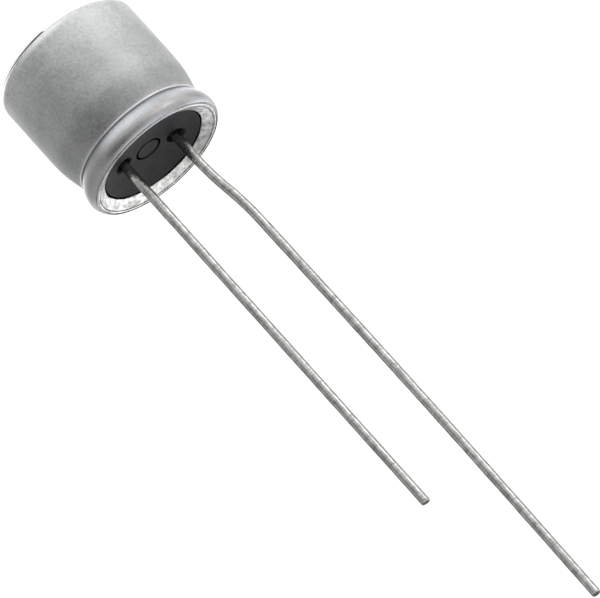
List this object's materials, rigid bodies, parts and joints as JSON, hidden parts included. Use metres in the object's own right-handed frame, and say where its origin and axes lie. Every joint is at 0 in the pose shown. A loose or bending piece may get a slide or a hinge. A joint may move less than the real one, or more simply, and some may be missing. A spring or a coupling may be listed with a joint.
{
  "type": "electrolytic capacitor",
  "caption": "Squat radial aluminium electrolytic capacitor: round can with a rolled groove, crimped rubber bung and wire leads, the wound foil element inside.",
  "frame": {"origin": "centre of the can's closed end, on its outer face", "axes": "+Z along the can's axis, out of the open end and along the leads; the cathode lead is on +X and the anode lead on -X"},
  "size_m": [0.008, 0.008, 0.0399],
  "materials": {
    "can_aluminium": "bare drawn aluminium, satin, with a dark polarity segment on the closed end",
    "bung_rubber": "moulded, satin",
    "tinned_wire": "tinned, semi-bright with die marks",
    "tab_aluminium": "pressed, semi-bright",
    "etched_foil": "etched matt grey",
    "plain_foil": "matt",
    "separator_paper": "damp kraft paper",
    "tape_film": "film tape, satin"
  },
  "bodies": {
    "root": {"can": "can_aluminium", "bung": "bung_rubber", "cathode_lead": "tinned_wire", "anode_lead": "tinned_wire", "cathode_tab": "tab_aluminium", "anode_tab": "tab_aluminium", "anode_foil": "etched_foil", "cathode_foil": "plain_foil", "inner_separator": "separator_paper", "outer_separator": "separator_paper", "winding_tape": "tape_film"}
  },
  "joints": []
}
